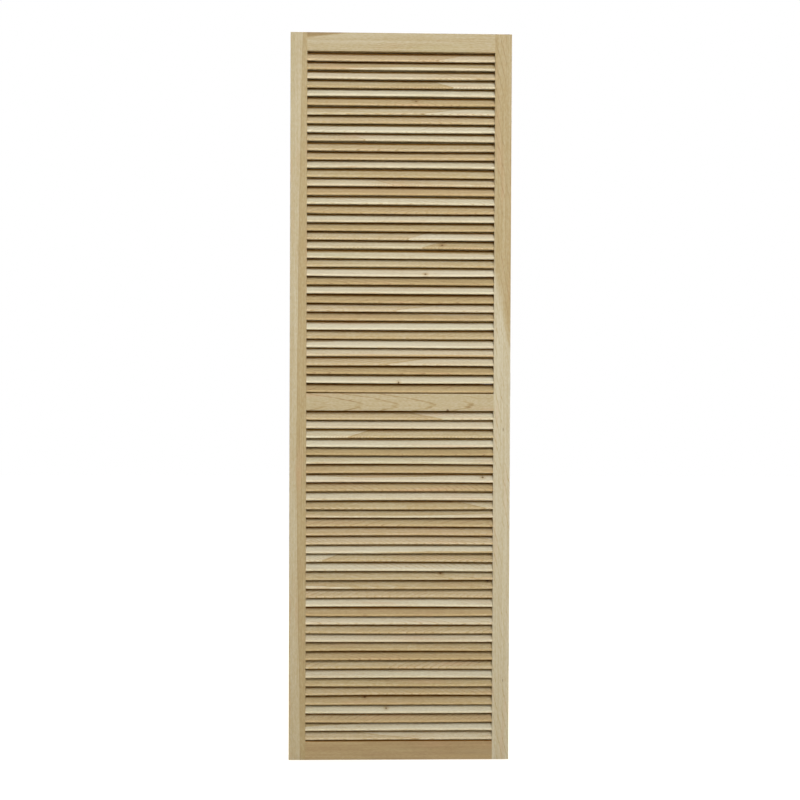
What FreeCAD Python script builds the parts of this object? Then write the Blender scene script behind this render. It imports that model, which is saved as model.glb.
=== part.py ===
"""Bifold closet door: two louvred leaves hinged along one side, folded back to back.

Frame: the origin is the mouth of the pivot bore in the bottom of the front leaf. X runs along the leaf
from the pivot side to the hinge side, Y from the room face of the front leaf to the rear leaf, Z up.
"""

import FreeCAD, Part
import math
import os

from FreeCAD import Vector

# Driving dimensions, in millimetres and degrees.

# Leaf
LEAF_WIDTH = 609.6
LEAF_HEIGHT = 2006.6
LEAF_THICKNESS = 28.575
STILE_EDGE_RADIUS = 1.5  # easing of the outer long edges of a stile

# Stiles and rails
STILE_WIDTH = 46.0
TOP_RAIL_HEIGHT = 50.8
MIDDLE_RAIL_HEIGHT = 47.6
BOTTOM_RAIL_HEIGHT = 50.8
MIDDLE_RAIL_CENTRE = 991.0  # above the bottom of the leaf
RAIL_EDGE_RADIUS = 1.0  # easing of the rail edges that face the slats
RAIL_TONGUE_HEIGHT = 6.0  # the tongue on a rail shuts off the view under the lowest slat
RAIL_TONGUE_THICKNESS = 6.0

# Slats, each with round long edges
SLAT_THICKNESS = 6.35
SLAT_FACE_MARGIN = 1.6  # from the edges of a slat to the faces of the leaf
SLAT_PITCH = 24.7  # about; the slats of a run are spaced to fill the opening
SLAT_TILT = 45.0  # from the vertical, with the room-side edge low
SLAT_NOSE_GAP = 3.2  # from the lowest slat of a run to the rail under it
SLAT_TAIL_GAP = 0.5  # from the top slat of a run to the rail over it
MORTISE_DEPTH = 8.0
MORTISE_CLEARANCE = 0.15
SLAT_TIP_GAP = 0.5  # from the end of a slat to the floor of its mortise

# Dowels that join the rails to the stiles
DOWEL_RADIUS = 4.76
DOWEL_EDGE_DISTANCE = 12.7  # from the dowel's axis to the edge of its rail
DOWEL_IN_RAIL = 30.0
DOWEL_CHAMFER = 1.0
DOWEL_CLEARANCE = 0.05
DOWEL_GLUE_POCKET = 1.0  # room left at each end of a dowel
DOWEL_BORE_WALL = 2.0  # wood left between a dowel hole and a pivot bore

# Bores for the pivots and the track guide
PIVOT_BORE_RADIUS = 4.7625
PIVOT_BORE_DEPTH = 38.1
PIVOT_BACKSET = 19.05  # from the outer edge of the stile to the bore's axis

# Hinges, with plates let flush into the edges of the stiles
HINGE_HEIGHT = 63.5
HINGE_TOP_SETBACK = 178.0  # from the top of the leaf to the top of the hinge
HINGE_BOTTOM_SETBACK = 254.0  # from the bottom of the leaf to the bottom of the hinge
PLATE_ROOM_MARGIN = 6.5  # from a plate to the room face of its leaf
PLATE_THICKNESS = 1.5
PLATE_CORNER_RADIUS = 4.0
PLATE_CLEARANCE = 0.1  # round a plate in its recess
LEAF_GAP = 1.2  # between the hinge edges of the leaves when the door is flat
KNUCKLE_GAP = 0.3
BARREL_STANDOFF = 0.4  # from the barrel to the back face of a leaf
PIN_RADIUS = 1.6
PIN_CLEARANCE = 0.05
PIN_HEAD_HEIGHT = 1.6
PIN_HEAD_MARGIN = 0.3  # how far the head stays inside the barrel's outline

# Hinge screws, with countersunk cross-slot heads
SCREW_RADIUS = 1.75
SCREW_HEAD_RADIUS = 3.2
SCREW_LENGTH = 16.0
SCREW_POINT_LENGTH = 4.0
SCREW_CLEARANCE = 0.05
SCREW_END_INSET = 11.0  # from the end of a plate to the nearest screw
SCREW_ROW_INSET = 7.0  # from a long edge of the plate to the nearer row of screws
CROSS_SLOT_LENGTH = 3.8
CROSS_SLOT_WIDTH = 0.9
CROSS_SLOT_DEPTH = 0.9

# Sizes and places worked out from the ones above.
SLAT_FLAT = (LEAF_THICKNESS - 2 * SLAT_FACE_MARGIN - SLAT_THICKNESS) / math.sin(math.radians(SLAT_TILT))
SLAT_RISE = SLAT_FLAT * math.cos(math.radians(SLAT_TILT)) + SLAT_THICKNESS
PLATE_WIDTH = LEAF_THICKNESS - PLATE_ROOM_MARGIN
BARREL_RADIUS = PIN_RADIUS + PIN_CLEARANCE + PLATE_THICKNESS
FOLD_STANDOFF = BARREL_RADIUS + BARREL_STANDOFF
FOLD_AXIS_Y = LEAF_THICKNESS / 2 + FOLD_STANDOFF
OUTER_EDGE_X = -PIVOT_BACKSET
HINGE_EDGE_X = LEAF_WIDTH - PIVOT_BACKSET
FOLD_AXIS_X = HINGE_EDGE_X + LEAF_GAP / 2
OPENING_LEFT_X = OUTER_EDGE_X + STILE_WIDTH
OPENING_RIGHT_X = HINGE_EDGE_X - STILE_WIDTH
DOWEL_HOLE_IN_STILE = STILE_WIDTH - PIVOT_BACKSET - PIVOT_BORE_RADIUS - DOWEL_BORE_WALL

RAILS = {
    "bottom": (0.0, BOTTOM_RAIL_HEIGHT),
    "middle": (
        MIDDLE_RAIL_CENTRE - MIDDLE_RAIL_HEIGHT / 2,
        MIDDLE_RAIL_CENTRE + MIDDLE_RAIL_HEIGHT / 2,
    ),
    "top": (LEAF_HEIGHT - TOP_RAIL_HEIGHT, LEAF_HEIGHT),
}
OPENINGS = {
    "lower": (RAILS["bottom"][1], RAILS["middle"][0]),
    "upper": (RAILS["middle"][1], RAILS["top"][0]),
}
TOP_HINGE_Z = LEAF_HEIGHT - HINGE_TOP_SETBACK - HINGE_HEIGHT
HINGES = {
    "top": TOP_HINGE_Z,
    "middle": (TOP_HINGE_Z + HINGE_BOTTOM_SETBACK) / 2,
    "bottom": HINGE_BOTTOM_SETBACK,
}
KNUCKLE_LENGTH = (HINGE_HEIGHT - 2 * KNUCKLE_GAP) / 3

X_AXIS = Vector(1, 0, 0)
Z_AXIS = Vector(0, 0, 1)


class Leaf:
    """Where one leaf stands: its mid-plane, and the way its room face looks along Y."""

    def __init__(self, name, middle_y, facing):
        self.name = name
        self.middle_y = middle_y
        self.facing = facing

    def y(self, towards_room):
        """A place measured from the mid-plane towards the room face."""
        return self.middle_y + self.facing * towards_room

    @property
    def room_y(self):
        return self.y(LEAF_THICKNESS / 2)

    @property
    def back_y(self):
        return self.y(-LEAF_THICKNESS / 2)


FRONT = Leaf("front", 0.0, -1)
REAR = Leaf("rear", 2 * FOLD_AXIS_Y, 1)


def rounded_face(corners):
    """A flat face from corners given as (point, radius), with an arc at each corner that has a radius."""
    edges = []
    count = len(corners)
    trims = []
    for i, (point, radius) in enumerate(corners):
        back = (corners[i - 1][0] - point).normalize()
        ahead = (corners[(i + 1) % count][0] - point).normalize()
        if not radius:
            trims.append((point, point, None))
            continue
        half_angle = back.getAngle(ahead) / 2
        reach = radius / math.tan(half_angle)
        inwards = (back + ahead).normalize()
        crown = point + inwards * (radius / math.sin(half_angle) - radius)
        trims.append((point + back * reach, point + ahead * reach, crown))
    for i, (start, end, crown) in enumerate(trims):
        if crown is not None:
            edges.append(Part.Arc(start, crown, end).toShape())
        edges.append(Part.LineSegment(end, trims[(i + 1) % count][0]).toShape())
    return Part.Face(Part.Wire(edges))


def box(x_ends, y_ends, z_ends):
    """A block between two places on each axis, given in either order."""
    low = [min(ends) for ends in (x_ends, y_ends, z_ends)]
    size = [abs(ends[1] - ends[0]) for ends in (x_ends, y_ends, z_ends)]
    return Part.makeBox(*size, Vector(*low))


def turned(outline, base, axis):
    """A solid of revolution: outline is a list of (along, radius) from the axis back to the axis."""
    side = Z_AXIS if abs(axis.z) < 0.5 else X_AXIS
    points = [base + axis * along + side * radius for along, radius in outline]
    face = Part.Face(Part.makePolygon(points + points[:1]))
    return face.revolve(base, axis, 360)


# Slats and their mortises


def slat_centres(opening):
    """Heights of the slat centres in an opening, evenly spaced from one rail to the other."""
    low, high = OPENINGS[opening]
    room = high - low - SLAT_RISE - SLAT_NOSE_GAP - SLAT_TAIL_GAP
    steps = round(room / SLAT_PITCH)
    first = low + SLAT_NOSE_GAP + SLAT_RISE / 2
    return [first + i * room / steps for i in range(steps + 1)]


def slat_bar(leaf, x_ends, clearance):
    """A tilted bar with round long edges, centred at height 0."""
    tilt = math.radians(SLAT_TILT)
    radius = SLAT_THICKNESS / 2 + clearance
    nose = Vector(0, leaf.facing * math.sin(tilt), -math.cos(tilt))
    upper = Vector(0, leaf.facing * math.cos(tilt), math.sin(tilt))
    middle = Vector(x_ends[0], leaf.middle_y, 0)
    low = middle + nose * (SLAT_FLAT / 2)
    high = middle - nose * (SLAT_FLAT / 2)
    outline = Part.Wire(
        [
            Part.LineSegment(low + upper * radius, high + upper * radius).toShape(),
            Part.Arc(high + upper * radius, high - nose * radius, high - upper * radius).toShape(),
            Part.LineSegment(high - upper * radius, low - upper * radius).toShape(),
            Part.Arc(low - upper * radius, low + nose * radius, low + upper * radius).toShape(),
        ]
    )
    return Part.Face(outline).extrude(X_AXIS * (x_ends[1] - x_ends[0]))


def slats(leaf, opening):
    """Every slat of one opening, with its ends let into both stiles."""
    reach = MORTISE_DEPTH - SLAT_TIP_GAP
    bar = slat_bar(leaf, (OPENING_LEFT_X - reach, OPENING_RIGHT_X + reach), 0.0)
    return [bar.translated(Z_AXIS * z) for z in slat_centres(opening)]


def mortises(leaf, inner_x, into):
    """The slots in the inner edge of a stile; into is the way that they are cut along X."""
    slot = slat_bar(leaf, (inner_x, inner_x + into * MORTISE_DEPTH), MORTISE_CLEARANCE)
    heights = [z for opening in OPENINGS for z in slat_centres(opening)]
    return [slot.translated(Z_AXIS * z) for z in heights]


# Dowels and their holes


def dowel_heights(rail):
    low, high = RAILS[rail]
    return (low + DOWEL_EDGE_DISTANCE, high - DOWEL_EDGE_DISTANCE)


def dowel_sides():
    """Each joint between rails and a stile: its X, and the way along X into the stile."""
    return ((OPENING_LEFT_X, -1), (OPENING_RIGHT_X, 1))


def dowel_holes(leaf, joint_x, into, depth, rails):
    radius = DOWEL_RADIUS + DOWEL_CLEARANCE
    return [
        Part.makeCylinder(radius, depth, Vector(joint_x, leaf.middle_y, z), X_AXIS * into)
        for rail in rails
        for z in dowel_heights(rail)
    ]


def dowels(leaf, rail):
    """The four dowels of one rail, chamfered at both ends."""
    length = DOWEL_IN_RAIL + DOWEL_HOLE_IN_STILE - DOWEL_GLUE_POCKET
    outline = [
        (0, 0),
        (0, DOWEL_RADIUS - DOWEL_CHAMFER),
        (DOWEL_CHAMFER, DOWEL_RADIUS),
        (length - DOWEL_CHAMFER, DOWEL_RADIUS),
        (length, DOWEL_RADIUS - DOWEL_CHAMFER),
        (length, 0),
    ]
    return [
        turned(outline, Vector(joint_x - into * DOWEL_IN_RAIL, leaf.middle_y, z), X_AXIS * into)
        for joint_x, into in dowel_sides()
        for z in dowel_heights(rail)
    ]


# Stiles and rails


def pivot_bores(leaf):
    """The bores in the two ends of the stile that is away from the hinges."""
    return [
        Part.makeCylinder(PIVOT_BORE_RADIUS, PIVOT_BORE_DEPTH, Vector(0, leaf.middle_y, z), Z_AXIS * inwards)
        for z, inwards in ((0.0, 1), (LEAF_HEIGHT, -1))
    ]


def stile_blank(leaf, outer_x, inner_x):
    """A full-height stile with its two outer edges eased."""
    section = rounded_face(
        [
            (Vector(outer_x, leaf.room_y, 0), STILE_EDGE_RADIUS),
            (Vector(outer_x, leaf.back_y, 0), STILE_EDGE_RADIUS),
            (Vector(inner_x, leaf.back_y, 0), 0),
            (Vector(inner_x, leaf.room_y, 0), 0),
        ]
    )
    return section.extrude(Z_AXIS * LEAF_HEIGHT)


def outer_stile(leaf):
    """The stile away from the hinges, bored for the pivots or the guide."""
    joint_x, into = dowel_sides()[0]
    holes = dowel_holes(leaf, joint_x, into, DOWEL_HOLE_IN_STILE, RAILS)
    cuts = mortises(leaf, joint_x, into) + holes + pivot_bores(leaf)
    return stile_blank(leaf, OUTER_EDGE_X, OPENING_LEFT_X).cut(cuts)


def hinge_stile(leaf):
    """The stile that carries the hinge plates, with recesses for them and holes for their screws."""
    joint_x, into = dowel_sides()[1]
    holes = dowel_holes(leaf, joint_x, into, DOWEL_HOLE_IN_STILE, RAILS)
    recesses = []
    for hinge_z in HINGES.values():
        recesses.append(plate_blank(leaf, hinge_z, PLATE_CLEARANCE))
        recesses += hinge_screws(leaf, hinge_z, SCREW_CLEARANCE)
    cuts = mortises(leaf, joint_x, into) + holes + recesses
    return stile_blank(leaf, HINGE_EDGE_X, OPENING_RIGHT_X).cut(cuts)


def rail(leaf, name):
    """A rail between the stiles, with its ends drilled for dowels.

    The edges that face slats are eased, and a tongue stands behind the nose of the slat above the rail.
    """
    low, high = RAILS[name]
    low_radius = 0 if name == "bottom" else RAIL_EDGE_RADIUS
    high_radius = 0 if name == "top" else RAIL_EDGE_RADIUS
    corners = [
        (leaf.room_y, low, low_radius),
        (leaf.back_y, low, low_radius),
        (leaf.back_y, high, high_radius),
    ]
    if name != "top":
        tongue_back = leaf.y(-RAIL_TONGUE_THICKNESS)
        tongue_top = high + RAIL_TONGUE_HEIGHT
        corners += [
            (tongue_back, high, 0),
            (tongue_back, tongue_top, 0),
            (leaf.middle_y, tongue_top, 0),
            (leaf.middle_y, high, 0),
        ]
    corners.append((leaf.room_y, high, high_radius))
    section = rounded_face([(Vector(OPENING_LEFT_X, y, z), radius) for y, z, radius in corners])
    bar = section.extrude(X_AXIS * (OPENING_RIGHT_X - OPENING_LEFT_X))
    depth = DOWEL_IN_RAIL + DOWEL_GLUE_POCKET
    holes = []
    for joint_x, into in dowel_sides():
        holes += dowel_holes(leaf, joint_x, -into, depth, [name])
    return bar.cut(holes)


# Hinges


def hinge_screws(leaf, hinge_z, clearance):
    """The screws of one plate, driven along X; with a clearance, the holes that take them."""
    head_depth = SCREW_HEAD_RADIUS - SCREW_RADIUS
    plate_face = Vector(HINGE_EDGE_X, 0, hinge_z)
    outline = [
        (0, 0),
        (0, SCREW_HEAD_RADIUS + clearance),
        (head_depth, SCREW_RADIUS + clearance),
        (SCREW_LENGTH - SCREW_POINT_LENGTH, SCREW_RADIUS + clearance),
        (SCREW_LENGTH + clearance, 0),
    ]
    near_row = leaf.back_y + leaf.facing * SCREW_ROW_INSET
    far_row = leaf.back_y + leaf.facing * (PLATE_WIDTH - SCREW_ROW_INSET)
    places = [
        (near_row, SCREW_END_INSET),
        (far_row, HINGE_HEIGHT / 2),
        (near_row, HINGE_HEIGHT - SCREW_END_INSET),
    ]
    return [turned(outline, plate_face + Vector(0, y, z), X_AXIS * -1) for y, z in places]


def slotted_screws(leaf, hinge_z):
    """The screws of one plate with a cross slot in each head."""
    half_length, half_width = CROSS_SLOT_LENGTH / 2, CROSS_SLOT_WIDTH / 2
    depth = (HINGE_EDGE_X - CROSS_SLOT_DEPTH, HINGE_EDGE_X)
    screws = []
    for screw in hinge_screws(leaf, hinge_z, 0.0):
        y = (screw.BoundBox.YMin + screw.BoundBox.YMax) / 2
        z = (screw.BoundBox.ZMin + screw.BoundBox.ZMax) / 2
        upright = box(depth, (y - half_width, y + half_width), (z - half_length, z + half_length))
        across = box(depth, (y - half_length, y + half_length), (z - half_width, z + half_width))
        screws.append(screw.cut([upright, across]))
    return screws


def knuckle_spans(leaf):
    """Which thirds of the barrel a plate carries: the two ends on the front leaf, the middle on the rear."""
    step = KNUCKLE_LENGTH + KNUCKLE_GAP
    thirds = (0, 2) if leaf is FRONT else (1,)
    return [(i * step, i * step + KNUCKLE_LENGTH) for i in thirds]


def plate_blank(leaf, hinge_z, clearance):
    """The flat of a plate, flush with the edge of the stile; with a clearance, the recess that takes it."""
    floor_x = HINGE_EDGE_X - PLATE_THICKNESS
    free_y = leaf.back_y + leaf.facing * (PLATE_WIDTH + clearance)
    low_z = hinge_z - clearance
    high_z = hinge_z + HINGE_HEIGHT + clearance
    outline = rounded_face(
        [
            (Vector(floor_x, leaf.back_y, low_z), 0),
            (Vector(floor_x, free_y, low_z), PLATE_CORNER_RADIUS + clearance),
            (Vector(floor_x, free_y, high_z), PLATE_CORNER_RADIUS + clearance),
            (Vector(floor_x, leaf.back_y, high_z), 0),
        ]
    )
    return outline.extrude(X_AXIS * PLATE_THICKNESS)


def hinge_plate(leaf, hinge_z):
    """A plate in the edge of the hinge stile, with its knuckles round the fold axis."""
    plate_x = (HINGE_EDGE_X - PLATE_THICKNESS, HINGE_EDGE_X)
    joined = []
    bores = []
    for low, high in knuckle_spans(leaf):
        z_ends = (hinge_z + low, hinge_z + high)
        base = Vector(FOLD_AXIS_X, FOLD_AXIS_Y, z_ends[0])
        joined.append(box(plate_x, (leaf.back_y, FOLD_AXIS_Y), z_ends))
        joined.append(Part.makeCylinder(BARREL_RADIUS, KNUCKLE_LENGTH, base, Z_AXIS))
        bores.append(Part.makeCylinder(PIN_RADIUS + PIN_CLEARANCE, KNUCKLE_LENGTH, base, Z_AXIS))
    holes = hinge_screws(leaf, hinge_z, SCREW_CLEARANCE)
    return plate_blank(leaf, hinge_z, 0.0).fuse(joined).cut(bores + holes).removeSplitter()


def hinge_pin(hinge_z):
    """A pin through the knuckles, with a bevelled head at each end."""
    head_radius = BARREL_RADIUS - PIN_HEAD_MARGIN
    bevel = PIN_HEAD_HEIGHT / 2
    length = HINGE_HEIGHT
    outline = [
        (-PIN_HEAD_HEIGHT, 0),
        (-PIN_HEAD_HEIGHT, head_radius - bevel),
        (-PIN_HEAD_HEIGHT + bevel, head_radius),
        (0, head_radius),
        (0, PIN_RADIUS),
        (length, PIN_RADIUS),
        (length, head_radius),
        (length + PIN_HEAD_HEIGHT - bevel, head_radius),
        (length + PIN_HEAD_HEIGHT, head_radius - bevel),
        (length + PIN_HEAD_HEIGHT, 0),
    ]
    return turned(outline, Vector(FOLD_AXIS_X, FOLD_AXIS_Y, hinge_z), Z_AXIS)


# Assembly


def leaf_nodes(leaf, outer_stile_name):
    """Every node of one leaf, by name."""
    nodes = {
        f"{leaf.name}_{outer_stile_name}": [outer_stile(leaf)],
        f"{leaf.name}_hinge_stile": [hinge_stile(leaf)],
    }
    for name in RAILS:
        nodes[f"{leaf.name}_{name}_rail"] = [rail(leaf, name)]
        nodes[f"{leaf.name}_{name}_rail_dowels"] = dowels(leaf, name)
    for opening in OPENINGS:
        nodes[f"{leaf.name}_{opening}_slats"] = slats(leaf, opening)
    for name, hinge_z in HINGES.items():
        nodes[f"{name}_hinge_{leaf.name}_plate"] = [hinge_plate(leaf, hinge_z)]
        nodes[f"{name}_hinge_{leaf.name}_screws"] = slotted_screws(leaf, hinge_z)
    return nodes


def main():
    nodes = leaf_nodes(FRONT, "pivot_stile") | leaf_nodes(REAR, "guide_stile")
    for name, hinge_z in HINGES.items():
        nodes[f"{name}_hinge_pin"] = [hinge_pin(hinge_z)]
    os.makedirs("parts", exist_ok=True)
    for name, shapes in nodes.items():
        solids = [solid for shape in shapes for solid in shape.Solids]
        shape = solids[0] if len(solids) == 1 else Part.makeCompound(solids)
        shape.exportStep(f"parts/{name}.step")
    for opening in OPENINGS:
        print(f"{opening} slats per leaf: {len(slat_centres(opening))}")
    print(f"nodes: {len(nodes)}")


main()
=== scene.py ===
import math

import bmesh
import bpy
from mathutils import Matrix, Vector


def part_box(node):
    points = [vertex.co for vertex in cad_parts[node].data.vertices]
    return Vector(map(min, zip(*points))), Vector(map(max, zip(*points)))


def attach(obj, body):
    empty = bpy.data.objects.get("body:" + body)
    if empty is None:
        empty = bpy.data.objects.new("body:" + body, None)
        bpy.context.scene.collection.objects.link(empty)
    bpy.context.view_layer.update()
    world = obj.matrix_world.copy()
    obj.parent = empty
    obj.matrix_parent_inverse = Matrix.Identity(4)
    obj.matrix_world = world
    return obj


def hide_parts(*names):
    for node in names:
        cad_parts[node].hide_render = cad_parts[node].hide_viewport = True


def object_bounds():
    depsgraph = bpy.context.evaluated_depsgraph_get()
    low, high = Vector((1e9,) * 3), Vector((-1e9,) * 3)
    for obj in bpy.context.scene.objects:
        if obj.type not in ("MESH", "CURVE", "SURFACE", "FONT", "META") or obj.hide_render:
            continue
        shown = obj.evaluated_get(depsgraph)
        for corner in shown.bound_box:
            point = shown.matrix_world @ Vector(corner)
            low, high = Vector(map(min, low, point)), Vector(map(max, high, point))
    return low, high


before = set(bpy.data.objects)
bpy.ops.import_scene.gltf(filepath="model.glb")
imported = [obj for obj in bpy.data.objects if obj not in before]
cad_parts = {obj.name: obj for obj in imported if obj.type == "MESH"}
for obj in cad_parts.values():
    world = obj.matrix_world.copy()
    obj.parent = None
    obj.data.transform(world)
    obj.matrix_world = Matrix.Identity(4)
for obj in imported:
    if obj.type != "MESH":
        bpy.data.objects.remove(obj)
CAD_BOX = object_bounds()

bl_info = {
    "name": "Louvred bifold door",
    "version": (1, 0, 0),
    "blender": (4, 5, 0),
    "location": "View3D > Sidebar > Door",
    "description": "Finishes a folded pair of louvred door leaves in bare wood and sets a studio round it",
    "category": "Object",
}

FRONT_BODY = "pivot_leaf"
REAR_BODY = "guide_leaf"
LEAF_BODIES = {"front": FRONT_BODY, "rear": REAR_BODY}
RAIL_NAMES = ("top", "middle", "bottom")
HINGE_NAMES = ("top", "middle", "bottom")
OPENING_NAMES = ("upper", "lower")
SLAT_TURN = {"front": 0.0, "rear": math.pi}  # about Z, so that the low edge of each slat points outwards


def node_middle(node):
    """The middle of a node's box, in metres."""
    low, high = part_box(node)
    return (Vector(low) + Vector(high)) / 2


def node_size(node):
    """The sides of a node's box, in metres."""
    low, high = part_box(node)
    return Vector(high) - Vector(low)


# Settings that a user would change


class SlatSettings(bpy.types.PropertyGroup):
    """Shape of the slats and how unevenly they sit."""

    thickness: bpy.props.FloatProperty(
        name="Thickness", description="Thickness of a slat", default=0.00635, unit="LENGTH"
    )
    pitch: bpy.props.FloatProperty(
        name="Pitch", description="Height from one slat to the next, about", default=0.0247, unit="LENGTH"
    )
    tilt: bpy.props.FloatProperty(
        name="Tilt", description="Lean of a slat from the vertical", default=math.radians(45), subtype="ANGLE"
    )
    lift: bpy.props.FloatProperty(
        name="Lift", description="Most that a slat sits high or low", default=0.0009, unit="LENGTH"
    )
    twist: bpy.props.FloatProperty(
        name="Twist", description="Most that a slat's lean is off", default=math.radians(2.5), subtype="ANGLE"
    )
    bow: bpy.props.FloatProperty(
        name="Bow", description="Most that a slat bows up or down in its middle", default=0.0014,
        unit="LENGTH"
    )
    skew: bpy.props.FloatProperty(
        name="Skew", description="Most that one end of a slat sits high", default=0.0007, unit="LENGTH"
    )
    chance: bpy.props.FloatProperty(
        name="Out of turn", description="How often a slat breaks the turns of pale and tan", default=0.1,
        subtype="FACTOR"
    )
    seed: bpy.props.IntProperty(name="Seed", description="Seed of the unevenness", default=4)


class WoodSettings(bpy.types.PropertyGroup):
    """Colours of the bare wood and of the plated steel."""

    sapwood: bpy.props.FloatVectorProperty(
        name="Sapwood", description="Palest wood", default=(0.61, 0.562, 0.42), subtype="COLOR"
    )
    heartwood: bpy.props.FloatVectorProperty(
        name="Heartwood", description="Tan wood", default=(0.425, 0.322, 0.163), subtype="COLOR"
    )
    brown: bpy.props.FloatVectorProperty(
        name="Brown", description="Brown wood", default=(0.25, 0.155, 0.07), subtype="COLOR"
    )
    dark: bpy.props.FloatVectorProperty(
        name="Dark wood", description="Knots and dark streaks", default=(0.12, 0.06, 0.025), subtype="COLOR"
    )
    blush: bpy.props.FloatVectorProperty(
        name="Blush", description="Pinkish wood", default=(0.58, 0.36, 0.22), subtype="COLOR"
    )
    green: bpy.props.FloatVectorProperty(
        name="Green cast", description="Greenish wood", default=(0.52, 0.52, 0.33), subtype="COLOR"
    )
    steel: bpy.props.FloatVectorProperty(
        name="Zinc", description="Plated steel", default=(0.5, 0.49, 0.46), subtype="COLOR"
    )


class StageSettings(bpy.types.PropertyGroup):
    """Camera, lamps and light from all round."""

    camera_place: bpy.props.FloatVectorProperty(
        name="Camera", description="Place of the camera", default=(0.1391, -4.3626, 1.0700),
        subtype="TRANSLATION"
    )
    camera_yaw: bpy.props.FloatProperty(
        name="Yaw", description="Turn of the camera to the right", default=math.radians(1.928),
        subtype="ANGLE"
    )
    camera_pitch: bpy.props.FloatProperty(
        name="Pitch", description="Tilt of the camera upwards", default=math.radians(-0.959), subtype="ANGLE"
    )
    camera_roll: bpy.props.FloatProperty(
        name="Roll", description="Roll of the camera", default=math.radians(0.233), subtype="ANGLE"
    )
    camera_lens: bpy.props.FloatProperty(
        name="Lens", description="Focal length in millimetres", default=70.901
    )
    key_power: bpy.props.FloatProperty(
        name="Key power", description="Power of the key lamp", default=71.0, subtype="POWER"
    )
    lamp_size: bpy.props.FloatProperty(
        name="Lamp size", description="Side of the lamps", default=3.8, unit="LENGTH"
    )
    lamp_distance: bpy.props.FloatProperty(
        name="Lamp distance", description="From the door to the lamps", default=4.4, unit="LENGTH"
    )
    key_height: bpy.props.FloatProperty(
        name="Key height", description="Angle of the key lamp above the level", default=math.radians(31),
        subtype="ANGLE"
    )
    key_turn: bpy.props.FloatProperty(
        name="Key turn", description="Angle of the key lamp to the right", default=math.radians(7),
        subtype="ANGLE"
    )
    lamp_spread: bpy.props.FloatProperty(
        name="Spread", description="Angle that the light of the lamps fans out to", default=math.radians(80),
        subtype="ANGLE"
    )
    lamp_aim: bpy.props.FloatProperty(
        name="Aim", description="How far above the door's middle the lamps point", default=0.25, unit="LENGTH"
    )
    fill_power: bpy.props.FloatProperty(
        name="Fill power", description="Power of each lamp behind the door", default=56.0, subtype="POWER"
    )
    fill_height: bpy.props.FloatProperty(
        name="Fill height", description="Angle of the lamps behind above the level", default=math.radians(40),
        subtype="ANGLE"
    )
    fill_turn: bpy.props.FloatProperty(
        name="Fill turn", description="Angle of the lamps behind from the front, one to each side",
        default=math.radians(126), subtype="ANGLE"
    )
    ambient: bpy.props.FloatProperty(
        name="Ambient", description="Strength of the light from all round", default=0.02
    )


# Node trees


class Value:
    """A node socket that takes part in Python expressions."""

    def __init__(self, tree, socket):
        self.tree = tree
        self.socket = socket

    def math(self, operation, *others, clamp=False):
        settings = {"operation": operation, "use_clamp": clamp}
        return self.tree.add("ShaderNodeMath", settings, [self, *others])

    def __add__(self, other):
        return self.math("ADD", other)

    def __sub__(self, other):
        return self.math("SUBTRACT", other)

    def __rsub__(self, other):
        return self.tree.add("ShaderNodeMath", {"operation": "SUBTRACT"}, [other, self])

    def __mul__(self, other):
        return self.math("MULTIPLY", other)

    def __truediv__(self, other):
        return self.math("DIVIDE", other)

    __radd__ = __add__
    __rmul__ = __mul__


class Tree:
    """A node tree, and the one way in which nodes are added to it."""

    def __init__(self, node_tree):
        self.nodes = node_tree.nodes
        self.links = node_tree.links
        self.nodes.clear()

    def add(self, kind, settings=None, inputs=None, output=0):
        """Adds a node: its settings first, then the values or links of its inputs."""
        node = self.nodes.new(kind)
        for name, setting in (settings or {}).items():
            setattr(node, name, setting)
        pairs = enumerate(inputs) if isinstance(inputs, list) else (inputs or {}).items()
        for key, value in pairs:
            if isinstance(value, Value):
                self.links.new(value.socket, node.inputs[key])
            else:
                node.inputs[key].default_value = value
        return Value(self, node.outputs[output]) if node.outputs else None

    def outputs(self, value, *names):
        """Other outputs of the node that a value comes from."""
        return [Value(self, value.socket.node.outputs[name]) for name in names]

    def scaled(self, vector, scale):
        return self.add("ShaderNodeVectorMath", {"operation": "MULTIPLY"}, [vector, scale])

    def shifted(self, vector, shift):
        return self.add("ShaderNodeVectorMath", {"operation": "ADD"}, [vector, shift])

    def parts(self, vector):
        x = self.add("ShaderNodeSeparateXYZ", inputs={"Vector": vector})
        return [x, *self.outputs(x, "Y", "Z")]

    def joined(self, x, y, z):
        return self.add("ShaderNodeCombineXYZ", inputs=[x, y, z])

    def noise(self, vector, detail=2.0, roughness=0.5):
        """Noise of unit scale, from 0 to 1 about 0.5."""
        inputs = {"Vector": vector, "Scale": 1.0, "Detail": detail, "Roughness": roughness}
        return self.add("ShaderNodeTexNoise", None, inputs, "Fac")

    def step(self, value, start, end):
        """0 below start, 1 above end and smooth between them."""
        settings = {"interpolation_type": "SMOOTHSTEP"}
        return self.add("ShaderNodeMapRange", settings, {"Value": value, "From Min": start, "From Max": end})

    def blend(self, factor, first, second, mode="MIX"):
        """A mix of two colours."""
        settings = {"data_type": "RGBA", "blend_type": mode, "clamp_factor": True}
        mixed = self.add("ShaderNodeMix", settings, {"Factor": factor}, "Result")
        node = mixed.socket.node
        colour_sockets = [s for s in node.inputs if s.type == "RGBA"]
        for socket, colour in zip(colour_sockets, (first, second)):
            if isinstance(colour, Value):
                self.links.new(colour.socket, socket)
            else:
                socket.default_value = (*colour, 1.0)
        return Value(self, [s for s in node.outputs if s.type == "RGBA"][0])


# Wood

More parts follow.
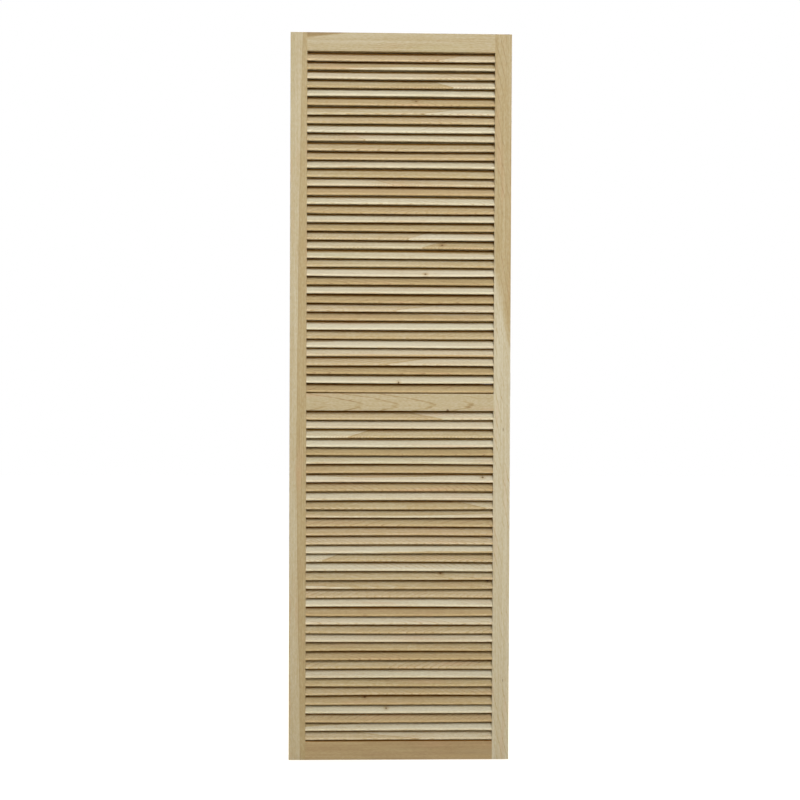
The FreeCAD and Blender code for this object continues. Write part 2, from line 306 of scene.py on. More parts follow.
# Waves to the metre along, across and through the wood, detail and roughness of each noise
WOOD_NOISES = {
    "wander": ((1.6, 16.0, 16.0), 2.0, 0.5),
    "ripple": ((11.0, 60.0, 60.0), 2.0, 0.5),
    "cloud": ((2.4, 26.0, 26.0), 2.0, 0.5),
    "patch": ((5.0, 45.0, 45.0), 2.0, 0.5),
    "streak": ((2.2, 210.0, 210.0), 3.0, 0.6),
    "mottle": ((110.0, 340.0, 340.0), 1.0, 0.5),
    "fibre": ((16.0, 1300.0, 1300.0), 2.0, 0.5),
    "fleck": ((70.0, 800.0, 800.0), 1.0, 0.5),
}
NOISE_MIDDLE = 0.5
SEED_SHIFT = (7.3, 3.1, 5.7)  # metres that a seed of 1 moves a piece through the noises

# Rings, in metres unless a comment says otherwise
WANDER_REACH = 0.012
RIPPLE_REACH = 0.0022
HEART_FADE = (-0.0008, 0.0014)  # from the border between sapwood and heartwood
RIM_MIDDLE = 0.0006  # of the darker line along that border
RIM_REACH = 0.0016
STREAK_JITTER = 0.5  # of a ring, moved by streaks
LATE_WIDTH = 0.0016  # of the dark late wood of a ring
LATE_PEAK = 0.94  # of a ring
LATE_END = 0.95  # of a ring
LINE_PATCHES = (-0.12, 0.12)  # of the patch noise, where late wood shows

# Knots and marks, in cells of the knot pattern
KNOT_WAVES = 24.0  # cells to the metre
KNOT_SHIFT = (17.0, 5.0)  # cells that a seed of 1 moves the pattern
KNOT_FADE = (0.045, 0.085)
KNOT_RAGGED = 0.05
HALO_FADE = (0.05, 0.32)
HALO_RAGGED = 0.2
MARK_FADE = (0.6, 1.15)  # of a mark's own half length and width
MARK_RAGGED = 0.8
HAIR = 0.0001  # width of a step that is sharp

# Shares of tone and colour, and the noise over which each comes in
CLOUD_TONE = 0.34
LINE_TONE = 0.4
HALO_TONE = 0.5
BLUSH_PATCHES = (0.05, 0.3)
BLUSH_SHARE = 0.3
GREEN_CLOUDS = (0.06, 0.3)
GREEN_SHARE = 0.3
PORE_FIBRES = (0.04, 0.3)
PORE_SHARE = 0.1
FLECKS = (0.2, 0.28)
FLECK_SHARE = 0.22
KNOT_SHARE = 0.85

# Surface
WOOD_ROUGHNESS = 0.68
FIBRE_ROUGHNESS = 0.2
KNOT_POLISH = 0.15
FIBRE_RELIEF = 0.6
LINE_RELIEF = 0.25
KNOT_RELIEF = 0.6
WOOD_BUMP = 0.25
WOOD_BUMP_DEPTH = 0.0002
WOOD_SHEEN = 0.1  # specular level of bare wood

PAINTED_SHADE_TINT = (0.76, 0.49, 0.18)  # painted shade: a darker, deeper tan multiplied into the wood deep in the louvres, where shade falls
PAINTED_SHADE_EDGE_FADE = 0.0004
PAINTED_SHADE_DEPTH_FADE = (0.002, 0.005)  # metres through a rail, where the painted shade ends short of the tongue's back


class Cut:
    """How a piece of wood was cut from the log.

    Lengths are in metres, and most values are a number or a socket. The growth rings lie round a pith at
    (across, through), lean and curve along the piece from its apex, and change from sapwood to heartwood
    at the border. A mark is (along, across, half length, half width). Wood above the painted shade edge,
    which is measured across the piece, gets painted shade on the room side: a darker, deeper tan that
    stands for the shade in the slit under the lowest slat.
    """

    def __init__(
        self,
        seed,
        sap_tone,
        heart_tone=None,
        border=1.0,
        side=1.0,
        lean=0.0,
        curve=0.0,
        apex=0.0,
        pith=(-0.3, 0.0),
        rings=300.0,
        figure=1.0,
        edge=0.35,
        blush=0.0,
        streaks=0.45,
        specks=0.65,
        soft=1.0,
        knots=0.002,
        marks=(),
        painted_shade_edge=None,
    ):
        self.seed = seed
        self.sap_tone = sap_tone
        self.heart_tone = sap_tone if heart_tone is None else heart_tone
        self.border = border
        self.side = side
        self.lean = lean
        self.curve = curve
        self.apex = apex
        self.pith = pith
        self.rings = rings
        self.figure = figure
        self.edge = edge
        self.blush = blush
        self.streaks = streaks
        self.specks = specks
        self.soft = soft
        self.knots = knots
        self.marks = marks
        self.painted_shade_edge = painted_shade_edge


def wood_surface(tree, grain, cut):
    """Colour, roughness and relief of bare wood, from metres along, across and through the piece."""
    wood = bpy.context.scene.door_wood
    place = tree.shifted(grain, tree.joined(*[cut.seed * shift for shift in SEED_SHIFT]))
    along, across, through = tree.parts(grain)
    wander, ripple, cloud, patch, streak, mottle, fibre, fleck = [
        tree.noise(tree.scaled(place, waves), detail, roughness) - NOISE_MIDDLE
        for waves, detail, roughness in WOOD_NOISES.values()
    ]

    pith_across, pith_through = cut.pith
    aside = across - pith_across
    below = through - pith_through
    run = along - cut.apex
    bend = run * cut.lean + run * run * cut.curve
    radius = (aside * aside + below * below).math("SQRT") - math.hypot(pith_across, pith_through)
    ring_place = radius - bend + wander * WANDER_REACH + ripple * RIPPLE_REACH
    into_heart = (ring_place - cut.border) * cut.side
    heart = tree.step(into_heart, *[end * cut.soft for end in HEART_FADE])
    rim = 1.0 - tree.step((into_heart - RIM_MIDDLE).math("ABSOLUTE"), 0.0, RIM_REACH)
    turn = (ring_place * cut.rings + streak * STREAK_JITTER).math("FRACT")
    late = tree.step(turn, LATE_PEAK - cut.rings * LATE_WIDTH, LATE_PEAK)
    late = late * (1.0 - tree.step(turn, LATE_END, 1.0))
    lines = late * tree.step(patch, *LINE_PATCHES)

    shift_along, shift_across = [cut.seed * shift for shift in KNOT_SHIFT]
    spots = tree.joined(along * KNOT_WAVES + shift_along, across * KNOT_WAVES + shift_across, 0.0)
    spot = tree.add(
        "ShaderNodeTexVoronoi", {"voronoi_dimensions": "2D"}, {"Vector": spots, "Scale": 1.0}, "Distance"
    )
    chance = tree.parts(tree.outputs(spot, "Color")[0])[0]
    rare = tree.step(chance, 1.0 - cut.knots, 1.0 + HAIR - cut.knots)
    knot = rare * (1.0 - tree.step(spot + ripple * KNOT_RAGGED, *KNOT_FADE))
    halo = rare * (1.0 - tree.step(spot + ripple * HALO_RAGGED, *HALO_FADE))
    for mark_along, mark_across, half_length, half_width in cut.marks:
        far_along = (along - mark_along) / half_length
        far_across = (across - mark_across) / half_width
        reach = (far_along * far_along + far_across * far_across).math("SQRT") + ripple * MARK_RAGGED
        knot = knot.math("MAXIMUM", 1.0 - tree.step(reach, *MARK_FADE))

    tone = (cut.heart_tone - cut.sap_tone) * heart + cut.sap_tone
    tone = tone + cloud * CLOUD_TONE + streak * cut.streaks + mottle * cut.specks
    tone = tone + lines * (LINE_TONE * cut.figure) + rim * cut.edge + halo * HALO_TONE
    colour = tree.blend(tone.math("ADD", 0.0, clamp=True), wood.sapwood, wood.heartwood)
    colour = tree.blend((tone - 1.0).math("ADD", 0.0, clamp=True), colour, wood.brown)
    colour = tree.blend(tree.step(patch, *BLUSH_PATCHES) * BLUSH_SHARE + cut.blush, colour, wood.blush)
    colour = tree.blend(tree.step(cloud, *GREEN_CLOUDS) * GREEN_SHARE * (1.0 - heart), colour, wood.green)
    pores = tree.step(fibre, *PORE_FIBRES) * PORE_SHARE + tree.step(fleck, *FLECKS) * FLECK_SHARE
    colour = tree.blend(pores + knot * KNOT_SHARE, colour, wood.dark)
    roughness = WOOD_ROUGHNESS + fibre * FIBRE_ROUGHNESS - knot * KNOT_POLISH
    relief = fibre * FIBRE_RELIEF + lines * LINE_RELIEF - knot * KNOT_RELIEF
    return colour, roughness, relief


def finish_wood(tree, colour, roughness, relief):
    """Ends a material in the shader of a bare wood surface."""
    normal = tree.add(
        "ShaderNodeBump", None, {"Strength": WOOD_BUMP, "Distance": WOOD_BUMP_DEPTH, "Height": relief}
    )
    shader = tree.add(
        "ShaderNodeBsdfPrincipled",
        None,
        {"Base Color": colour, "Roughness": roughness, "Normal": normal, "Specular IOR Level": WOOD_SHEEN},
    )
    tree.add("ShaderNodeOutputMaterial", None, {"Surface": shader})


def new_material(name):
    """An empty material and its tree."""
    material = bpy.data.materials.new(name)
    material.use_nodes = True
    return material, Tree(material.node_tree)


def board_material(name, node, axis, cut):
    """Wood for a straight board whose fibres run along X or Z."""
    material, tree = new_material(name)
    place = tree.add("ShaderNodeTexCoord", output="Object")
    x, y, z = tree.parts(tree.shifted(place, tuple(-node_middle(node))))
    grain = tree.joined(z, x, y) if axis == "Z" else tree.joined(x, z, y)
    colour, roughness, relief = wood_surface(tree, grain, cut)
    # painted shade: where a rail gives an edge, the wood above it on the room side (its top edge and tongue
    # inside the opening) is multiplied to a darker tan, standing for the shade in the slit under the lowest
    # slat
    if cut.painted_shade_edge is not None:
        _, across, through = tree.parts(grain)
        rail_painted_shade = tree.step(across, cut.painted_shade_edge - PAINTED_SHADE_EDGE_FADE, cut.painted_shade_edge)
        rail_painted_shade = rail_painted_shade * (1.0 - tree.step(through, *PAINTED_SHADE_DEPTH_FADE))
        colour = tree.blend(rail_painted_shade, colour, PAINTED_SHADE_TINT, "MULTIPLY")
    finish_wood(tree, colour, roughness, relief)
    return material


# Slat wood: a slat is a wedge or split where pale and tan wood meet at a slant or lengthwise, or else plain
WEDGE_SHARE = 0.2
SPLIT_SHARE = 0.2
LINED_SHARE = 0.4  # of the plain slats, with wide-set slanting grain lines
SEED_SPREAD = 50.0
DRAW_SPREAD = 97.0
DRAW_STREAMS = (0.0, 11.0, 23.0, 31.0)
SLAT_TINT = (0.942, 0.95, 0.955)
PAINTED_NOSE_HIGHLIGHT = (1.3, 1.28, 1.25)  # painted highlight: the rounded edge that faces the room, made paler as if a bright line of light fell along it
NOSE_HIGHLIGHT_FADE = (-0.0158, -0.0085)  # metres across a slat from its middle, negative towards the room
PAINTED_SHADE_ACROSS = (0.003, 0.0105)  # metres across a slat, where the painted shade comes in, on the part that lies in the gap under the slat above
PAINTED_SHADE_THROUGH = (0.0005, 0.0025)  # metres through a slat, so that the painted shade covers only its room side, the face seen in the gap


def slat_material():
    """Wood for all the slats, each one cut in its own way."""
    material, tree = new_material("slat_wood")
    grain = tree.add("ShaderNodeAttribute", {"attribute_name": "grain"}, output="Vector")
    own = tree.add("ShaderNodeAttribute", {"attribute_name": "slat_seed"}, output="Fac")
    pale = tree.add("ShaderNodeAttribute", {"attribute_name": "slat_pale"}, output="Fac")

    def draws(stream):
        """Three numbers from 0 to 1 that are a slat's own."""
        inputs = {"W": own * DRAW_SPREAD + stream}
        return tree.parts(tree.add("ShaderNodeTexWhiteNoise", {"noise_dimensions": "1D"}, inputs, "Color"))

    def between(draw, low, high):
        return draw * (high - low) + low

    def past(draw, limit):
        return tree.step(draw, limit - HAIR, limit + HAIR)

    firsts, seconds, thirds, fourths = [draws(stream) for stream in DRAW_STREAMS]
    slant, bend, apex = firsts
    border, blush, rings = seconds
    sap_tone, heart_tone, kind = thirds
    slant = between(slant, -1.0, 1.0)
    wedge = 1.0 - past(kind, WEDGE_SHARE)
    plain = past(kind, WEDGE_SHARE + SPLIT_SHARE)
    lined = past(fourths[0], 1.0 - LINED_SHARE) * plain
    cut = Cut(
        seed=own * SEED_SPREAD,
        sap_tone=between(sap_tone, 0.02, 0.3) + wedge * 0.1,
        heart_tone=between(heart_tone, 0.7, 1.1) - wedge * 0.2,
        border=between(border, -0.015, 0.015) * (1.0 + wedge) + plain,
        side=between(pale, -1.0, 1.0),
        lean=slant * 0.04 + (wedge + lined) * (slant * 0.25 + slant.math("SIGN") * 0.12),
        curve=between(bend, -0.15, 0.15),
        apex=between(apex, -0.2, 0.2),
        pith=(-0.08, 0.06),
        rings=between(rings, 160.0, 380.0) * (1.0 - lined * 0.6),
        figure=1.0 + wedge + lined * 1.2,
        edge=0.35 + wedge * 0.5,
        blush=blush * blush * 0.14,
        streaks=0.75,
        specks=0.9,
        soft=1.8,
        knots=0.012,
    )
    colour, roughness, relief = wood_surface(tree, grain, cut)
    _, across, through = tree.parts(grain)
    colour = tree.blend(1.0, colour, SLAT_TINT, "MULTIPLY")
    # painted highlight along each slat's room-side nose
    colour = tree.blend(1.0 - tree.step(across, *NOSE_HIGHLIGHT_FADE), colour, PAINTED_NOSE_HIGHLIGHT, "MULTIPLY")
    # painted shade: the upper part of each slat's room-side face, which lies in shade under the slat above,
    # is multiplied to a darker, deeper tan
    slat_painted_shade = tree.step(across, *PAINTED_SHADE_ACROSS) * tree.step(through, *PAINTED_SHADE_THROUGH)
    colour = tree.blend(slat_painted_shade, colour, PAINTED_SHADE_TINT, "MULTIPLY")
    finish_wood(tree, colour, roughness, relief)
    return material


# Steel

PLATE_BRUSHING = (900.0, 900.0, 25.0)  # waves to the metre along X, Y and Z
SCREW_BRUSHING = (700.0, 700.0, 700.0)
SCREW_SHADE = 0.6  # of the plates' colour
ZINC_CLOUDS = (60.0, 60.0, 60.0)  # waves to the metre
ZINC_CLOUD_FADE = (-0.2, 0.25)
ZINC_CLOUD_SHARE = 0.35
ZINC_DULL = 0.72  # of the plating's colour
ZINC_ROUGHNESS = 0.36
MARK_ROUGHNESS = 0.25
CLOUD_ROUGHNESS = 0.15
ZINC_BUMP = 0.2
ZINC_BUMP_DEPTH = 0.0001


def steel_material(name, brushing, shade=1.0):
    """Zinc-plated steel with fine rolling marks."""
    material, tree = new_material(name)
    place = tree.add("ShaderNodeTexCoord", output="Object")
    marks = tree.noise(tree.scaled(place, brushing), detail=3.0) - NOISE_MIDDLE
    clouds = tree.noise(tree.scaled(place, ZINC_CLOUDS)) - NOISE_MIDDLE
    bright = tuple(c * shade for c in bpy.context.scene.door_wood.steel)
    dull = tuple(c * ZINC_DULL for c in bright)
    colour = tree.blend(tree.step(clouds, *ZINC_CLOUD_FADE) * ZINC_CLOUD_SHARE, bright, dull)
    roughness = ZINC_ROUGHNESS + marks * MARK_ROUGHNESS + clouds * CLOUD_ROUGHNESS
    normal = tree.add(
        "ShaderNodeBump", None, {"Strength": ZINC_BUMP, "Distance": ZINC_BUMP_DEPTH, "Height": marks}
    )
    shader = tree.add(
        "ShaderNodeBsdfPrincipled",
        None,
        {"Base Color": colour, "Roughness": roughness, "Metallic": 1.0, "Normal": normal},
    )
    tree.add("ShaderNodeOutputMaterial", None, {"Surface": shader})
    return material


def dress(node, material):
    """Gives a CAD node a material in place of its own."""
    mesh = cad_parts[node].data
    mesh.materials.clear()
    mesh.materials.append(material)


# Slats

SLAT_EDGE_POINTS = 5  # on each rounded corner of a slat's outline
SLAT_EDGE_ROUND = 0.499  # of the thickness
SLAT_SPINE_POINTS = 9
FLAT_FACING = 0.999  # how nearly the normal of a flat face stands on the slat
END_FACING = 0.5  # how nearly the normal of an end lies along the slat
LIFT_STREAM, TWIST_STREAM, SEED_STREAM, BOW_STREAM, SKEW_STREAM, TURN_STREAM = range(1, 7)
RUN_SEED_STEP = 10  # between the seeds of two runs of slats


def slat_tree():
    """Geometry nodes for one opening's run of slats, from the lowest to the highest."""
    group = bpy.data.node_groups.new("slat_run", "GeometryNodeTree")
    for name, kind in (
        ("Count", "NodeSocketInt"),
        ("Pitch", "NodeSocketFloat"),
        ("Length", "NodeSocketFloat"),
        ("Width", "NodeSocketFloat"),
        ("Thickness", "NodeSocketFloat"),
        ("Tilt", "NodeSocketFloat"),
        ("Turn", "NodeSocketFloat"),
        ("Lowest Middle", "NodeSocketVector"),
        ("Lift", "NodeSocketFloat"),
        ("Twist", "NodeSocketFloat"),
        ("Bow", "NodeSocketFloat"),
        ("Skew", "NodeSocketFloat"),
        ("Chance", "NodeSocketFloat"),
        ("Seed", "NodeSocketInt"),
        ("Material", "NodeSocketMaterial"),
    ):
        group.interface.new_socket(name, in_out="INPUT", socket_type=kind)
    group.interface.new_socket("Geometry", in_out="OUTPUT", socket_type="NodeSocketGeometry")

    tree = Tree(group)
    entry = tree.add("NodeGroupInput")
    size = {socket.name: Value(tree, socket) for socket in entry.socket.node.outputs if socket.name}

    def draw(stream, low, high, index):
        """A number that is a slat's own."""
        inputs = {"ID": index, "Seed": size["Seed"] + stream}
        value = tree.add("FunctionNodeRandomValue", {"data_type": "FLOAT"}, inputs, "Value")
        node = value.socket.node
        floats = [s for s in node.inputs if s.type == "VALUE" and s.enabled]
        for socket, end in zip(floats, (low, high)):
            socket.default_value = end
        return Value(tree, [s for s in node.outputs if s.enabled][0])

    outline = tree.add(
        "GeometryNodeCurvePrimitiveQuadrilateral",
        {"mode": "RECTANGLE"},
        {"Width": size["Width"], "Height": size["Thickness"]},
    )
    outline = tree.add(
        "GeometryNodeFilletCurve",
        {"mode": "POLY"},
        {"Curve": outline, "Count": SLAT_EDGE_POINTS, "Radius": size["Thickness"] * SLAT_EDGE_ROUND},
    )
    half = size["Length"] * 0.5
    spine = tree.add(
        "GeometryNodeCurvePrimitiveLine",
        None,
        {"Start": tree.joined(0.0 - half, 0.0, 0.0), "End": tree.joined(half, 0.0, 0.0)},
    )
    spine = tree.add("GeometryNodeResampleCurve", None, {"Curve": spine, "Count": SLAT_SPINE_POINTS})
    spine = tree.add("GeometryNodeSetCurveNormal", {"mode": "Z_UP"}, {"Curve": spine})
    slat = tree.add(
        "GeometryNodeCurveToMesh", None, {"Curve": spine, "Profile Curve": outline, "Fill Caps": True}
    )
    position = tree.add("GeometryNodeInputPosition")
    slat = tree.add(
        "GeometryNodeStoreNamedAttribute",
        {"data_type": "FLOAT_VECTOR", "domain": "POINT"},
        {"Geometry": slat, "Name": "grain", "Value": position},
    )
    facing_x, _, facing_z = tree.parts(tree.add("GeometryNodeInputNormal"))
    beside_flat = facing_z.math("ABSOLUTE").math("LESS_THAN", FLAT_FACING)
    rounded = beside_flat * facing_x.math("ABSOLUTE").math("LESS_THAN", END_FACING)
    slat = tree.add("GeometryNodeSetShadeSmooth", None, {"Geometry": slat, "Shade Smooth": False})
    slat = tree.add("GeometryNodeSetShadeSmooth", None, {"Geometry": slat, "Selection": rounded})
    index = tree.add("GeometryNodeInputIndex")
    lift = tree.joined(0.0, 0.0, draw(LIFT_STREAM, -1.0, 1.0, index) * size["Lift"])
    points = tree.add(
        "GeometryNodeMeshLine",
        {"mode": "OFFSET"},
        {
            "Count": size["Count"],
            "Start Location": size["Lowest Middle"],
            "Offset": tree.joined(0.0, 0.0, size["Pitch"]),
        },
    )
    points = tree.add("GeometryNodeSetPosition", None, {"Geometry": points, "Offset": lift})
    tilt = size["Tilt"] + draw(TWIST_STREAM, -1.0, 1.0, index) * size["Twist"]
    turn = tree.joined(tilt, 0.0, size["Turn"])
    run = tree.add(
        "GeometryNodeInstanceOnPoints", None, {"Points": points, "Instance": slat, "Rotation": turn}
    )
    every_other = index.math("MODULO", 2.0)
    out_of_turn = draw(TURN_STREAM, 0.0, 1.0, index).math("LESS_THAN", size["Chance"])
    own = {
        "slat_seed": draw(SEED_STREAM, 0.0, 1.0, index),
        "slat_bow": draw(BOW_STREAM, -1.0, 1.0, index),
        "slat_skew": draw(SKEW_STREAM, -1.0, 1.0, index),
        "slat_pale": (every_other - out_of_turn).math("ABSOLUTE"),
    }
    for name, value in own.items():
        run = tree.add(
            "GeometryNodeStoreNamedAttribute",
            {"data_type": "FLOAT", "domain": "INSTANCE"},
            {"Geometry": run, "Name": name, "Value": value},
        )
    run = tree.add("GeometryNodeRealizeInstances", None, {"Geometry": run})
    stored = {}
    for name, kind in (("grain", "FLOAT_VECTOR"), ("slat_bow", "FLOAT"), ("slat_skew", "FLOAT")):
        stored[name] = tree.add(
            "GeometryNodeInputNamedAttribute", {"data_type": kind}, {"Name": name}, "Attribute"
        )
    reach = tree.parts(stored["grain"])[0] / half
    bow = stored["slat_bow"] * size["Bow"] * (1.0 - reach * reach)
    skew = stored["slat_skew"] * size["Skew"] * reach
    rise = tree.joined(0.0, 0.0, bow + skew)
    run = tree.add("GeometryNodeSetPosition", None, {"Geometry": run, "Offset": rise})
    run = tree.add("GeometryNodeSetMaterial", None, {"Geometry": run, "Material": size["Material"]})
    tree.add("NodeGroupOutput", None, {"Geometry": run})
    return group


def slat_run(node, turn, group, material, seed):
    """A plain mesh of the slats that stand for one CAD node."""
    settings = bpy.context.scene.door_slats
    middle = node_middle(node)
    size = node_size(node)
    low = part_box(node)[0]
    flat = (size.y - settings.thickness) / math.sin(settings.tilt)
    rise = flat * math.cos(settings.tilt) + settings.thickness
    steps = round((size.z - rise) / settings.pitch)
    values = {
        "Count": steps + 1,
        "Pitch": (size.z - rise) / steps,
        "Length": size.x,
        "Width": flat + settings.thickness,
        "Thickness": settings.thickness,
        "Tilt": math.pi / 2 - settings.tilt,
        "Turn": turn,
        "Lowest Middle": (middle.x, middle.y, low[2] + rise / 2),
        "Lift": settings.lift,
        "Twist": settings.twist,
        "Bow": settings.bow,
        "Skew": settings.skew,
        "Chance": settings.chance,
        "Seed": settings.seed + seed,
        "Material": material,
    }
    piece = bpy.data.objects.new(f"{node}_run", bpy.data.meshes.new(f"{node}_run"))
    bpy.context.scene.collection.objects.link(piece)
    modifier = piece.modifiers.new("slats", "NODES")
    modifier.node_group = group
    for item in group.interface.items_tree:
        if item.item_type == "SOCKET" and item.in_out == "INPUT":
            modifier[item.identifier] = values[item.name]
    bpy.context.view_layer.update()
    evaluated = piece.evaluated_get(bpy.context.evaluated_depsgraph_get())
    mesh = bpy.data.meshes.new_from_object(evaluated)
    piece.modifiers.remove(modifier)
    piece.data = mesh
    mesh.name = piece.name
    if not mesh.polygons:
        raise RuntimeError(f"no slats were made for {node}")
    return piece


# Operators


class DOOR_OT_build_slats(bpy.types.Operator):
    """Builds the slats of both leaves"""

    bl_idname = "door.build_slats"
    bl_label = "Build slats"

    def execute(self, context):
        group = slat_tree()
        material = slat_material()
        seed = 0
        for leaf, body in LEAF_BODIES.items():
            for opening in OPENING_NAMES:
                node = f"{leaf}_{opening}_slats"
                seed += RUN_SEED_STEP
                piece = slat_run(node, SLAT_TURN[leaf], group, material, seed)
                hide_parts(node)
                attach(piece, body)
        return {"FINISHED"}


class DOOR_OT_finish_stiles(bpy.types.Operator):
    """Gives each stile its own board of wood"""

    bl_idname = "door.finish_stiles"
    bl_label = "Finish stiles"

    cuts = {
        "front_pivot_stile": Cut(
            seed=1.3, sap_tone=0.57, heart_tone=0.92, border=-0.001, lean=0.001, curve=0.0115, rings=240.0,
        ),
        "front_hinge_stile": Cut(
            seed=5.9, sap_tone=0.36, heart_tone=0.9, border=0.0496, lean=-0.208, rings=75.0, figure=1.5,
            edge=0.1, streaks=0.95, soft=9.0,
            marks=((-0.087, 0.004, 0.006, 0.0009), (-0.784, 0.006, 0.005, 0.0009)),
        ),
        "rear_guide_stile": Cut(
            seed=9.1, sap_tone=0.5, heart_tone=0.8, border=-0.012, side=-1.0, lean=0.01, rings=200.0,
        ),
        "rear_hinge_stile": Cut(
            seed=12.7, sap_tone=0.4, heart_tone=0.75, border=0.01, lean=-0.004, curve=0.01, rings=260.0,
        ),
    }

    def execute(self, context):
        for node, cut in self.cuts.items():
            dress(node, board_material(f"{node}_wood", node, "Z", cut))
        return {"FINISHED"}


class DOOR_OT_finish_rails(bpy.types.Operator):
    """Gives each rail its own board of wood"""

    bl_idname = "door.finish_rails"
    bl_label = "Finish rails"

    cuts = {
        "front_top_rail": Cut(
            seed=2.2, sap_tone=0.69, heart_tone=1.55, border=0.0435, lean=0.124, rings=190.0, figure=0.7,
            streaks=0.8, soft=2.5,
        ),
        # the middle and bottom rails get painted shade along their top edges inside the openings, above the
        # edge given last in each cut
        "front_middle_rail": Cut(
            seed=14.5, sap_tone=0.69, lean=-0.1, pith=(-0.01, 0.008), rings=95.0, figure=2.2, specks=0.8,
            marks=((0.1316, -0.0258, 0.0045, 0.0045),), painted_shade_edge=0.0208,
        ),
        "front_bottom_rail": Cut(
            seed=21.4, sap_tone=1.08, pith=(0.4, 0.05), rings=420.0, figure=1.8, blush=0.12, streaks=1.0,
            painted_shade_edge=0.0224,
        ),
        "rear_top_rail": Cut(seed=17.6, sap_tone=0.4, heart_tone=0.8, border=0.0, lean=0.05),
        "rear_middle_rail": Cut(seed=25.8, sap_tone=0.6, lean=0.12, pith=(0.005, 0.012), rings=110.0),
        "rear_bottom_rail": Cut(seed=29.3, sap_tone=0.5, lean=0.03),
    }

    def execute(self, context):
        for node, cut in self.cuts.items():
            dress(node, board_material(f"{node}_wood", node, "X", cut))
        return {"FINISHED"}


class DOOR_OT_finish_dowels(bpy.types.Operator):
    """Gives the dowels their wood"""

    bl_idname = "door.finish_dowels"
    bl_label = "Finish dowels"

    cut = Cut(seed=33.0, sap_tone=0.5)

    def execute(self, context):
        for leaf in LEAF_BODIES:
            for rail in RAIL_NAMES:
                node = f"{leaf}_{rail}_rail_dowels"
                dress(node, board_material(f"{node}_wood", node, "X", self.cut))
        return {"FINISHED"}


class DOOR_OT_finish_hinges(bpy.types.Operator):
    """Gives the hinge plates, pins and screws their plating"""

    bl_idname = "door.finish_hinges"
    bl_label = "Finish hinges"

    def execute(self, context):
        plate = steel_material("hinge_zinc", PLATE_BRUSHING)
        screw = steel_material("screw_zinc", SCREW_BRUSHING, SCREW_SHADE)
        for hinge in HINGE_NAMES:
            dress(f"{hinge}_hinge_pin", plate)
            for leaf in LEAF_BODIES:
                dress(f"{hinge}_hinge_{leaf}_plate", plate)
                dress(f"{hinge}_hinge_{leaf}_screws", screw)
        return {"FINISHED"}


WHITE = (1.0, 1.0, 1.0, 1.0)
FLOOR_HALF_SIDE = 12.0
FLOOR_CELLS = 8  # along each side
FLOOR_DROP = 0.0005  # below the door, so that their faces don't meet
FLOOR_PAINT = (0.34, 0.3, 0.21, 1.0)  # a little warm
GLOW_LEAST = 0.88  # round the door, where the floor shows a shadow
GLOW_FADE = (1.2, 3.0)  # metres from the door over which the floor turns white
CAMERA_REACH = 100.0


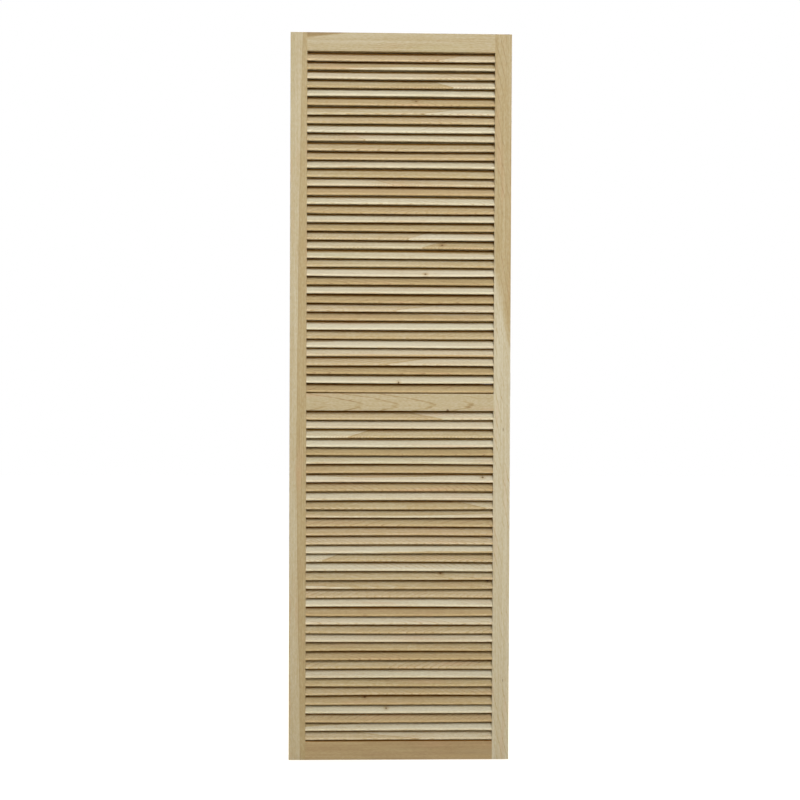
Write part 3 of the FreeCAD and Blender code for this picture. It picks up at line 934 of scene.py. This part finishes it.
class DOOR_OT_set_stage(bpy.types.Operator):
    """Sets the floor, the lamps, the background and the camera"""

    bl_idname = "door.set_stage"
    bl_label = "Set stage"

    def execute(self, context):
        scene = context.scene
        stage = scene.door_stage
        scene.view_settings.view_transform = "Standard"
        self.make_floor(scene)
        self.make_world(scene, stage)
        self.make_lamp(scene, stage, "key", stage.key_turn, stage.key_height, stage.key_power)
        for name, side in (("left_fill", -1), ("right_fill", 1)):
            self.make_lamp(scene, stage, name, side * stage.fill_turn, stage.fill_height, stage.fill_power)
        self.make_camera(scene, stage)
        return {"FINISHED"}

    @staticmethod
    def seen_directly(tree):
        """1 for rays from the camera, from reflections and through glass."""
        camera = tree.add("ShaderNodeLightPath", output="Is Camera Ray")
        glossy, through = tree.outputs(camera, "Is Glossy Ray", "Is Transmission Ray")
        return (camera + glossy).math("ADD", through, clamp=True)

    def make_floor(self, scene):
        """A wide plain floor that whitens away from the door."""
        mesh = bpy.data.meshes.new("floor")
        plane = bmesh.new()
        bmesh.ops.create_grid(plane, x_segments=FLOOR_CELLS, y_segments=FLOOR_CELLS, size=FLOOR_HALF_SIDE)
        plane.to_mesh(mesh)
        plane.free()
        mesh.transform(Matrix.Translation((0.0, 0.0, CAD_BOX[0][2] - FLOOR_DROP)))
        floor = bpy.data.objects.new("floor", mesh)
        scene.collection.objects.link(floor)
        material, tree = new_material("floor_paint")
        place = tree.add("ShaderNodeTexCoord", output="Object")
        distance = tree.add("ShaderNodeVectorMath", {"operation": "LENGTH"}, [place], "Value")
        glow = GLOW_LEAST + tree.step(distance, *GLOW_FADE) * (1.0 - GLOW_LEAST)
        paint = tree.add("ShaderNodeBsdfDiffuse", None, {"Color": FLOOR_PAINT})
        light = tree.add("ShaderNodeEmission", None, {"Color": WHITE, "Strength": glow})
        both = tree.add("ShaderNodeAddShader", None, [paint, light])
        surface = tree.add("ShaderNodeMixShader", None, [self.seen_directly(tree), paint, both])
        tree.add("ShaderNodeOutputMaterial", None, {"Surface": surface})
        mesh.materials.append(material)

    def make_world(self, scene, stage):
        """A background that looks white and gives little light."""
        world = bpy.data.worlds.new("studio")
        world.use_nodes = True
        scene.world = world
        tree = Tree(world.node_tree)
        dim = tree.add("ShaderNodeBackground", None, {"Color": WHITE, "Strength": stage.ambient})
        white = tree.add("ShaderNodeBackground", None, {"Color": WHITE, "Strength": 1.0})
        mixed = tree.add("ShaderNodeMixShader", None, [self.seen_directly(tree), dim, white])
        tree.add("ShaderNodeOutputWorld", None, {"Surface": mixed})

    def make_lamp(self, scene, stage, name, turn, height, power):
        """A square lamp that faces the door, turned from the door's front to the right."""
        low, high = CAD_BOX
        middle = (Vector(low) + Vector(high)) / 2
        level = math.cos(height)
        towards = Vector((level * math.sin(turn), -level * math.cos(turn), math.sin(height)))
        lamp = bpy.data.lights.new(name, "AREA")
        lamp.shape = "SQUARE"
        lamp.size = stage.lamp_size
        lamp.energy = power
        lamp.spread = stage.lamp_spread
        holder = bpy.data.objects.new(name, lamp)
        away = towards * stage.lamp_distance
        holder.location = middle + away
        facing = away - Vector((0.0, 0.0, stage.lamp_aim))
        holder.rotation_euler = facing.to_track_quat("Z", "Y").to_euler()
        scene.collection.objects.link(holder)

    def make_camera(self, scene, stage):
        """The camera, at the photo's place and turn."""
        camera = bpy.data.objects.new("camera", bpy.data.cameras.new("camera"))
        camera.data.lens = stage.camera_lens
        camera.data.clip_end = CAMERA_REACH
        turn = (
            Matrix.Rotation(-stage.camera_yaw, 4, "Z")
            @ Matrix.Rotation(math.pi / 2 + stage.camera_pitch, 4, "X")
            @ Matrix.Rotation(stage.camera_roll, 4, "Z")
        )
        camera.location = stage.camera_place
        camera.rotation_euler = turn.to_euler()
        scene.collection.objects.link(camera)
        scene.camera = camera


class DOOR_PT_panel(bpy.types.Panel):
    """Lists the steps that dress the door"""

    bl_idname = "DOOR_PT_panel"
    bl_label = "Louvred door"
    bl_space_type = "VIEW_3D"
    bl_region_type = "UI"
    bl_category = "Door"

    def draw(self, context):
        for settings in (context.scene.door_slats, context.scene.door_wood, context.scene.door_stage):
            box = self.layout.box()
            for name in settings.__annotations__:
                box.prop(settings, name)
        for operator in OPERATORS:
            self.layout.operator(operator.bl_idname)


OPERATORS = (
    DOOR_OT_build_slats,
    DOOR_OT_finish_stiles,
    DOOR_OT_finish_rails,
    DOOR_OT_finish_dowels,
    DOOR_OT_finish_hinges,
    DOOR_OT_set_stage,
)
SETTINGS = {"door_slats": SlatSettings, "door_wood": WoodSettings, "door_stage": StageSettings}
CLASSES = (*SETTINGS.values(), *OPERATORS, DOOR_PT_panel)


def register():
    for cls in CLASSES:
        bpy.utils.register_class(cls)
    for name, settings in SETTINGS.items():
        setattr(bpy.types.Scene, name, bpy.props.PointerProperty(type=settings))


def unregister():
    for name in SETTINGS:
        delattr(bpy.types.Scene, name)
    for cls in reversed(CLASSES):
        bpy.utils.unregister_class(cls)


def main():
    register()
    bpy.ops.door.build_slats()
    bpy.ops.door.finish_stiles()
    bpy.ops.door.finish_rails()
    bpy.ops.door.finish_dowels()
    bpy.ops.door.finish_hinges()
    bpy.ops.door.set_stage()


if __name__ == "__main__":
    main()
